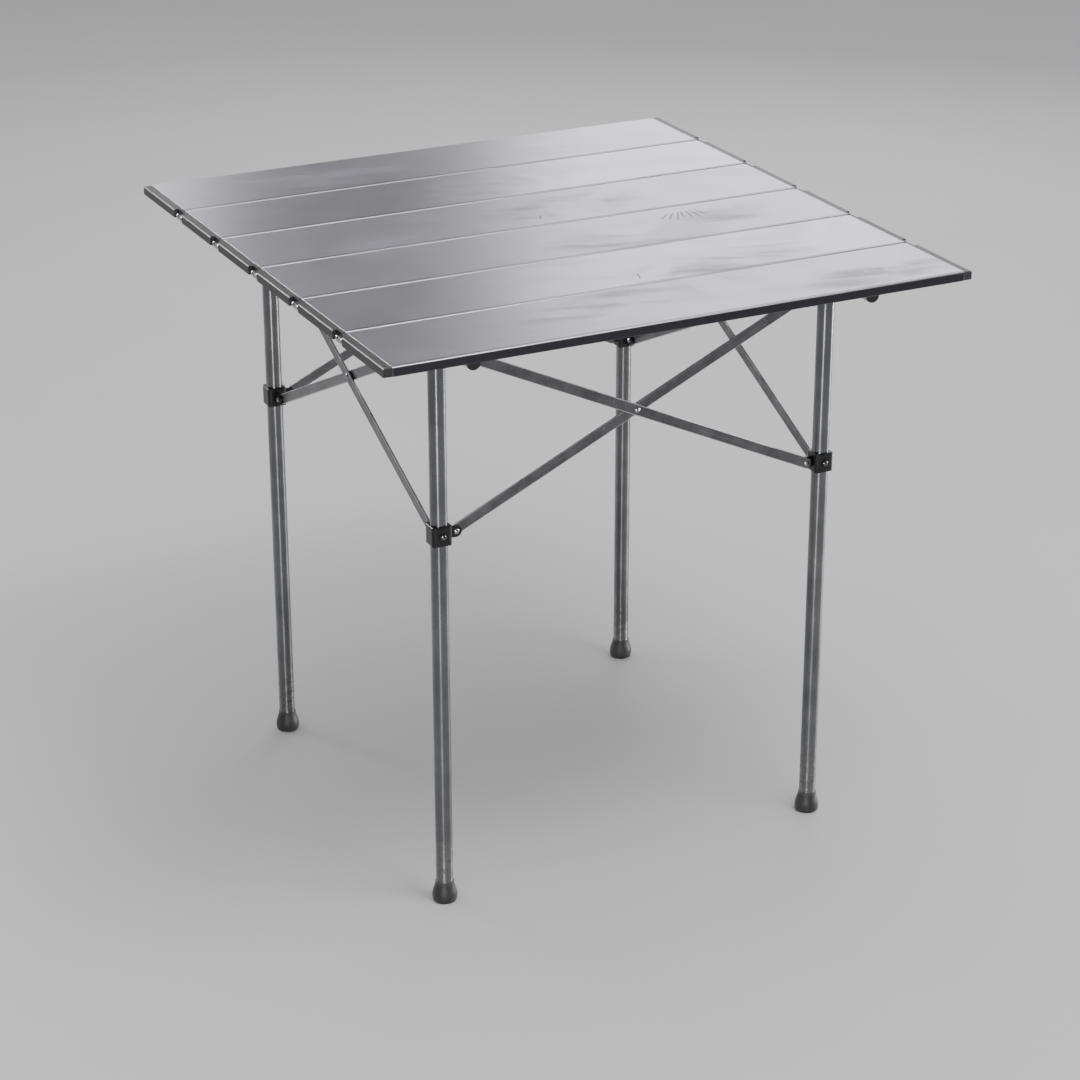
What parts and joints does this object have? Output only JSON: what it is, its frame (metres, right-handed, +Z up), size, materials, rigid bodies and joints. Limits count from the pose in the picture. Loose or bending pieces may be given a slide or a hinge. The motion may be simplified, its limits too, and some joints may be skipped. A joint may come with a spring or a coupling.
{
  "type": "folding side table",
  "caption": "Square camping side table: hinged aluminium slats roll up off two rails, and tube legs joined by crossed bars fold together.",
  "frame": {"origin": "on the floor under the middle of the top", "axes": "+X along the slats, +Y to the back across the slats, +Z up"},
  "size_m": [0.685, 0.701, 0.681],
  "materials": {
    "slat_aluminium": "satin anodised",
    "cap_plastic": "fine-grained satin",
    "link_steel": "plain zinc",
    "tab_plastic": "matte",
    "rail_aluminium": "drawn",
    "plug_plastic": "matte",
    "leg_aluminium": "bright drawn",
    "foot_rubber": "matte",
    "bracket_plastic": "satin",
    "collar_plastic": "satin",
    "button_steel": "polished",
    "bar_aluminium": "mill",
    "rivet_steel": "plain"
  },
  "bodies": {
    "leg_front_left": {"leg_front_left": "leg_aluminium", "foot_front_left": "foot_rubber", "bracket_front_left": "bracket_plastic"},
    "leg_front_right": {"leg_front_right": "leg_aluminium", "foot_front_right": "foot_rubber", "bracket_front_right": "bracket_plastic"},
    "leg_back_right": {"leg_back_right": "leg_aluminium", "foot_back_right": "foot_rubber", "bracket_back_right": "bracket_plastic"},
    "leg_back_left": {"leg_back_left": "leg_aluminium", "foot_back_left": "foot_rubber", "bracket_back_left": "bracket_plastic"},
    "bar_front_outer": {"bar_front_outer": "bar_aluminium", "rivets_front_outer": "rivet_steel"},
    "bar_front_inner": {"bar_front_inner": "bar_aluminium", "rivets_front_inner": "rivet_steel"},
    "bar_right_outer": {"bar_right_outer": "bar_aluminium", "rivets_right_outer": "rivet_steel"},
    "bar_right_inner": {"bar_right_inner": "bar_aluminium", "rivets_right_inner": "rivet_steel"},
    "bar_back_outer": {"bar_back_outer": "bar_aluminium", "rivets_back_outer": "rivet_steel"},
    "bar_back_inner": {"bar_back_inner": "bar_aluminium", "rivets_back_inner": "rivet_steel"},
    "bar_left_outer": {"bar_left_outer": "bar_aluminium", "rivets_left_outer": "rivet_steel"},
    "bar_left_inner": {"bar_left_inner": "bar_aluminium", "rivets_left_inner": "rivet_steel"},
    "collar_front_left": {"collar_front_left": "collar_plastic"},
    "collar_front_right": {"collar_front_right": "collar_plastic"},
    "collar_back_right": {"collar_back_right": "collar_plastic"},
    "collar_back_left": {"collar_back_left": "collar_plastic"},
    "button_front_left": {"button_front_left": "button_steel"},
    "button_front_right": {"button_front_right": "button_steel"},
    "button_back_right": {"button_back_right": "button_steel"},
    "button_back_left": {"button_back_left": "button_steel"},
    "rail_left": {"rail_left": "rail_aluminium", "rail_plugs_left": "plug_plastic"},
    "rail_right": {"rail_right": "rail_aluminium", "rail_plugs_right": "plug_plastic"},
    "slat_1": {"slat_1": "slat_aluminium", "end_caps_1": "cap_plastic", "locating_tabs_front": "tab_plastic"},
    "slat_2": {"slat_2": "slat_aluminium", "end_caps_2": "cap_plastic"},
    "slat_3": {"slat_3": "slat_aluminium", "end_caps_3": "cap_plastic"},
    "slat_4": {"slat_4": "slat_aluminium", "end_caps_4": "cap_plastic"},
    "slat_5": {"slat_5": "slat_aluminium", "end_caps_5": "cap_plastic"},
    "slat_6": {"slat_6": "slat_aluminium", "end_caps_6": "cap_plastic", "locating_tabs_back": "tab_plastic"},
    "hinge_links_1": {"hinge_links_1": "link_steel"},
    "hinge_links_2": {"hinge_links_2": "link_steel"},
    "hinge_links_3": {"hinge_links_3": "link_steel"},
    "hinge_links_4": {"hinge_links_4": "link_steel"},
    "hinge_links_5": {"hinge_links_5": "link_steel"}
  },
  "joints": [
    {"name": "frame_fold", "type": "hinge", "parent": "leg_front_left", "child": "bar_front_outer", "pos_m": [-0.215, -0.234, 0.6415], "axis": [0, 1, 0], "range_deg": [0, 62]},
    {"name": "front_crossing", "type": "hinge", "parent": "bar_front_outer", "child": "bar_front_inner", "pos_m": [0, -0.234, 0.5415], "axis": [0, 1, 0], "range_deg": [-124.5, 0]},
    {"name": "front_inner_bar_top", "type": "hinge", "parent": "bar_front_inner", "child": "leg_front_right", "pos_m": [0.215, -0.234, 0.6415], "axis": [0, 1, 0], "range_deg": [0, 62.5]},
    {"name": "front_inner_bar_foot", "type": "hinge", "parent": "bar_front_inner", "child": "collar_front_left", "pos_m": [-0.215, -0.234, 0.4415], "axis": [0, 1, 0], "range_deg": [0, 62.5]},
    {"name": "front_outer_bar_foot", "type": "hinge", "parent": "bar_front_outer", "child": "collar_front_right", "pos_m": [0.215, -0.234, 0.4415], "axis": [0, 1, 0], "range_deg": [-62.5, 0]},
    {"name": "left_inner_bar_top", "type": "hinge", "parent": "leg_front_left", "child": "bar_left_inner", "pos_m": [-0.234, -0.215, 0.6415], "axis": [1, 0, 0], "range_deg": [-62.5, 0]},
    {"name": "left_crossing", "type": "hinge", "parent": "bar_left_inner", "child": "bar_left_outer", "pos_m": [-0.234, 0, 0.5415], "axis": [1, 0, 0], "range_deg": [0, 124.5]},
    {"name": "left_outer_bar_top", "type": "hinge", "parent": "bar_left_outer", "child": "leg_back_left", "pos_m": [-0.234, 0.215, 0.6415], "axis": [1, 0, 0], "range_deg": [-62.5, 0]},
    {"name": "left_inner_bar_foot", "type": "hinge", "parent": "bar_left_inner", "child": "collar_back_left", "pos_m": [-0.234, 0.215, 0.4415], "axis": [1, 0, 0], "range_deg": [0, 62.5]},
    {"name": "back_inner_bar_top", "type": "hinge", "parent": "leg_back_left", "child": "bar_back_inner", "pos_m": [-0.215, 0.234, 0.6415], "axis": [0, 1, 0], "range_deg": [0, 62.5]},
    {"name": "back_crossing", "type": "hinge", "parent": "bar_back_inner", "child": "bar_back_outer", "pos_m": [0, 0.234, 0.5415], "axis": [0, 1, 0], "range_deg": [-124.5, 0]},
    {"name": "back_outer_bar_top", "type": "hinge", "parent": "bar_back_outer", "child": "leg_back_right", "pos_m": [0.215, 0.234, 0.6415], "axis": [0, 1, 0], "range_deg": [0, 62.5]},
    {"name": "back_inner_bar_foot", "type": "hinge", "parent": "bar_back_inner", "child": "collar_back_right", "pos_m": [0.215, 0.234, 0.4415], "axis": [0, 1, 0], "range_deg": [-62.5, 0]},
    {"name": "right_outer_bar_top", "type": "hinge", "parent": "leg_front_right", "child": "bar_right_outer", "pos_m": [0.234, -0.215, 0.6415], "axis": [1, 0, 0], "range_deg": [-62.5, 0]},
    {"name": "right_crossing", "type": "hinge", "parent": "bar_right_outer", "child": "bar_right_inner", "pos_m": [0.234, 0, 0.5415], "axis": [1, 0, 0], "range_deg": [0, 124.5]},
    {"name": "rail_left_draw", "type": "slide", "parent": "leg_front_left", "child": "rail_left", "axis": [0, -1, 0], "range_m": [0, 0.57]},
    {"name": "rail_right_draw", "type": "slide", "parent": "leg_front_right", "child": "rail_right", "axis": [0, -1, 0], "range_m": [0, 0.57]},
    {"name": "top_lift", "type": "slide", "parent": "leg_front_left", "child": "slat_3", "axis": [0, 0, 1], "range_m": [0, 0.8]},
    {"name": "roll_2_near", "type": "hinge", "parent": "slat_3", "child": "hinge_links_2", "pos_m": [0, -0.11065, 0.6737], "axis": [1, 0, 0], "range_deg": [0, 29.51]},
    {"name": "roll_2_far", "type": "hinge", "parent": "hinge_links_2", "child": "slat_2", "pos_m": [0, -0.12335, 0.6737], "axis": [1, 0, 0], "range_deg": [0, 29.51]},
    {"name": "roll_1_near", "type": "hinge", "parent": "slat_2", "child": "hinge_links_1", "pos_m": [0, -0.22765, 0.6737], "axis": [1, 0, 0], "range_deg": [0, 29.51]},
    {"name": "roll_1_far", "type": "hinge", "parent": "hinge_links_1", "child": "slat_1", "pos_m": [0, -0.24035, 0.6737], "axis": [1, 0, 0], "range_deg": [0, 29.51]},
    {"name": "roll_3_near", "type": "hinge", "parent": "slat_3", "child": "hinge_links_3", "pos_m": [0, -0.00635, 0.6737], "axis": [1, 0, 0], "range_deg": [-29.51, 0]},
    {"name": "roll_3_far", "type": "hinge", "parent": "hinge_links_3", "child": "slat_4", "pos_m": [0, 0.00635, 0.6737], "axis": [1, 0, 0], "range_deg": [-29.51, 0]},
    {"name": "roll_4_near", "type": "hinge", "parent": "slat_4", "child": "hinge_links_4", "pos_m": [0, 0.11065, 0.6737], "axis": [1, 0, 0], "range_deg": [-29.51, 0]},
    {"name": "roll_4_far", "type": "hinge", "parent": "hinge_links_4", "child": "slat_5", "pos_m": [0, 0.12335, 0.6737], "axis": [1, 0, 0], "range_deg": [-29.51, 0]},
    {"name": "roll_5_near", "type": "hinge", "parent": "slat_5", "child": "hinge_links_5", "pos_m": [0, 0.22765, 0.6737], "axis": [1, 0, 0], "range_deg": [-29.51, 0]},
    {"name": "roll_5_far", "type": "hinge", "parent": "hinge_links_5", "child": "slat_6", "pos_m": [0, 0.24035, 0.6737], "axis": [1, 0, 0], "range_deg": [-29.51, 0]},
    {"name": "button_press_front_left", "type": "slide", "parent": "collar_front_left", "child": "button_front_left", "axis": [0, 1, 0], "range_m": [0, 0.001], "stiffness_N_per_m": 600},
    {"name": "button_press_front_right", "type": "slide", "parent": "collar_front_right", "child": "button_front_right", "axis": [0, 1, 0], "range_m": [0, 0.001], "stiffness_N_per_m": 600},
    {"name": "button_press_back_right", "type": "slide", "parent": "collar_back_right", "child": "button_back_right", "axis": [0, -1, 0], "range_m": [0, 0.001], "stiffness_N_per_m": 600},
    {"name": "button_press_back_left", "type": "slide", "parent": "collar_back_left", "child": "button_back_left", "axis": [0, -1, 0], "range_m": [0, 0.001], "stiffness_N_per_m": 600}
  ],
  "couplings": [
    {"joint": "front_crossing", "follows": "frame_fold", "ratio": -2},
    {"joint": "front_inner_bar_top", "follows": "frame_fold", "ratio": 1},
    {"joint": "front_inner_bar_foot", "follows": "frame_fold", "ratio": 1},
    {"joint": "front_outer_bar_foot", "follows": "frame_fold", "ratio": -1},
    {"joint": "left_inner_bar_top", "follows": "frame_fold", "ratio": -1},
    {"joint": "left_crossing", "follows": "frame_fold", "ratio": 2},
    {"joint": "left_outer_bar_top", "follows": "frame_fold", "ratio": -1},
    {"joint": "left_inner_bar_foot", "follows": "frame_fold", "ratio": 1},
    {"joint": "back_inner_bar_top", "follows": "frame_fold", "ratio": 1},
    {"joint": "back_crossing", "follows": "frame_fold", "ratio": -2},
    {"joint": "back_outer_bar_top", "follows": "frame_fold", "ratio": 1},
    {"joint": "back_inner_bar_foot", "follows": "frame_fold", "ratio": -1},
    {"joint": "right_outer_bar_top", "follows": "frame_fold", "ratio": -1},
    {"joint": "right_crossing", "follows": "frame_fold", "ratio": 2},
    {"joint": "roll_2_near", "follows": "top_lift", "rad_per_m": 0.633},
    {"joint": "roll_2_far", "follows": "top_lift", "rad_per_m": 0.633},
    {"joint": "roll_1_near", "follows": "top_lift", "rad_per_m": 0.633},
    {"joint": "roll_1_far", "follows": "top_lift", "rad_per_m": 0.633},
    {"joint": "roll_3_near", "follows": "top_lift", "rad_per_m": -0.633},
    {"joint": "roll_3_far", "follows": "top_lift", "rad_per_m": -0.633},
    {"joint": "roll_4_near", "follows": "top_lift", "rad_per_m": -0.633},
    {"joint": "roll_4_far", "follows": "top_lift", "rad_per_m": -0.633},
    {"joint": "roll_5_near", "follows": "top_lift", "rad_per_m": -0.633},
    {"joint": "roll_5_far", "follows": "top_lift", "rad_per_m": -0.633}
  ]
}
